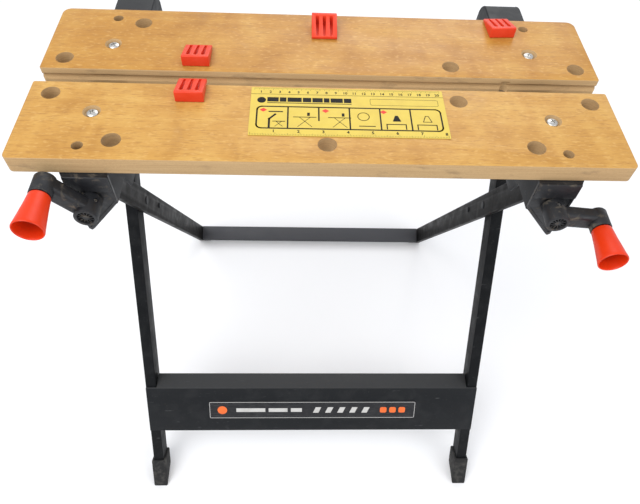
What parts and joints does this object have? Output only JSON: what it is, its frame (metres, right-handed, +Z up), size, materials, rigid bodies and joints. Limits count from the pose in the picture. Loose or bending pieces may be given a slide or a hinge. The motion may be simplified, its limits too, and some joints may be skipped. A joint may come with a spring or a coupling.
{
  "type": "folding portable workbench",
  "caption": "Folding workbench whose wooden top is a wide vise: a rear jaw driven by crank screws, swivel pegs, and crossed steel legs that fold flat.",
  "frame": {"origin": "on the floor, under the middle of the bench's bounding box", "axes": "+Z up, out of the worktop; -Y towards the user, where the cranks are; +X to the user's right"},
  "size_m": [0.624, 0.6139, 0.7648],
  "materials": {
    "veneered_board": "clear satin lacquer",
    "black_steel": "satin powder coat, dusty",
    "black_plastic": "fine moulded texture",
    "black_rubber": "matte",
    "bare_steel": "zinc plated",
    "orange_plastic": "glossy moulded",
    "printed_label": "printed film",
    "dark_panel": "glossy film"
  },
  "bodies": {
    "front_legs": {"front_leg_left": "black_steel", "front_leg_right": "black_steel", "front_foot_left": "black_rubber", "front_foot_right": "black_rubber", "pivot_spacer_left": "bare_steel", "pivot_spacer_right": "bare_steel", "top_pivot_bolt_left": "bare_steel", "top_pivot_bolt_right": "bare_steel", "cross_pivot_bolt_left": "black_steel", "cross_pivot_bolt_right": "black_steel", "step_plate": "black_steel", "step_badge": "dark_panel"},
    "rear_legs": {"rear_arm_left": "black_steel", "rear_arm_right": "black_steel", "rear_foot_left": "black_rubber", "rear_foot_right": "black_rubber", "stop_rivet_left": "bare_steel", "stop_rivet_right": "bare_steel", "rear_bar": "black_steel"},
    "top": {"front_jaw": "veneered_board", "ruler_label": "printed_label", "housing_left": "black_steel", "housing_right": "black_steel", "front_plate_left": "black_steel", "front_plate_right": "black_steel", "front_bush_left": "black_plastic", "front_bush_right": "black_plastic", "rear_cap_left": "black_plastic", "rear_cap_right": "black_plastic", "jaw_screw_front_left": "bare_steel", "jaw_screw_front_right": "bare_steel", "hook_stud_left": "bare_steel", "hook_stud_right": "bare_steel"},
    "sliding_jaw": {"rear_jaw": "veneered_board", "jaw_carrier_left": "black_plastic", "jaw_carrier_right": "black_plastic", "jaw_screw_rear_left": "bare_steel", "jaw_screw_rear_right": "bare_steel"},
    "screw_left": {"vise_screw_left": "bare_steel", "crank_left": "black_plastic", "crank_pin_left": "bare_steel", "knob_screw_left": "bare_steel"},
    "screw_right": {"vise_screw_right": "bare_steel", "crank_right": "black_plastic", "crank_pin_right": "bare_steel", "knob_screw_right": "bare_steel"},
    "grip_left": {"knob_left": "orange_plastic"},
    "grip_right": {"knob_right": "orange_plastic"},
    "front_left_peg": {"peg_front_left": "orange_plastic"},
    "rear_left_peg": {"peg_rear_left": "orange_plastic"},
    "rear_middle_peg": {"peg_rear_middle": "orange_plastic"},
    "rear_right_peg": {"peg_rear_right": "orange_plastic"}
  },
  "joints": [
    {"name": "rear_legs_fold", "type": "hinge", "parent": "front_legs", "child": "rear_legs", "pos_m": [0, 0.008, 0.4635], "axis": [-1, 0, 0], "range_deg": [0, 57.5]},
    {"name": "top_fold", "type": "hinge", "parent": "front_legs", "child": "top", "pos_m": [0, 0.13616, 0.66701], "axis": [-1, 0, 0], "range_deg": [0, 120.75]},
    {"name": "rear_jaw_slide", "type": "slide", "parent": "top", "child": "sliding_jaw", "axis": [0, 1, 0], "range_m": [-0.0219, 0.0851]},
    {"name": "left_crank_turn", "type": "hinge", "parent": "top", "child": "screw_left", "pos_m": [-0.241, -0.2211, 0.6995], "axis": [0, -1, 0], "range_deg": [-1313, 5100]},
    {"name": "right_crank_turn", "type": "hinge", "parent": "top", "child": "screw_right", "pos_m": [0.241, -0.2211, 0.6995], "axis": [0, -1, 0], "range_deg": [-1313, 5100]},
    {"name": "left_knob_spin", "type": "hinge", "parent": "screw_left", "child": "grip_left", "pos_m": [-0.27235, -0.2211, 0.73518], "axis": [0, 1, 0], "continuous": true},
    {"name": "right_knob_spin", "type": "hinge", "parent": "screw_right", "child": "grip_right", "pos_m": [0.28822, -0.2211, 0.69437], "axis": [0, 1, 0], "continuous": true},
    {"name": "front_left_peg_turn", "type": "hinge", "parent": "top", "child": "front_left_peg", "pos_m": [-0.1435, -0.0946, 0.752], "axis": [0, 0, 1], "continuous": true},
    {"name": "rear_left_peg_turn", "type": "hinge", "parent": "sliding_jaw", "child": "rear_left_peg", "pos_m": [-0.1435, -0.0344, 0.752], "axis": [0, 0, 1], "continuous": true},
    {"name": "rear_middle_peg_turn", "type": "hinge", "parent": "sliding_jaw", "child": "rear_middle_peg", "pos_m": [0, 0.0356, 0.752], "axis": [0, 0, 1], "continuous": true},
    {"name": "rear_right_peg_turn", "type": "hinge", "parent": "sliding_jaw", "child": "rear_right_peg", "pos_m": [0.2135, 0.0346, 0.752], "axis": [0, 0, 1], "continuous": true}
  ],
  "couplings": [
    {"joint": "rear_legs_fold", "follows": "top_fold", "ratio": 0.47619},
    {"joint": "rear_jaw_slide", "follows": "left_crank_turn", "m_per_rad": 0.00095493},
    {"joint": "right_crank_turn", "follows": "left_crank_turn", "ratio": 1}
  ]
}
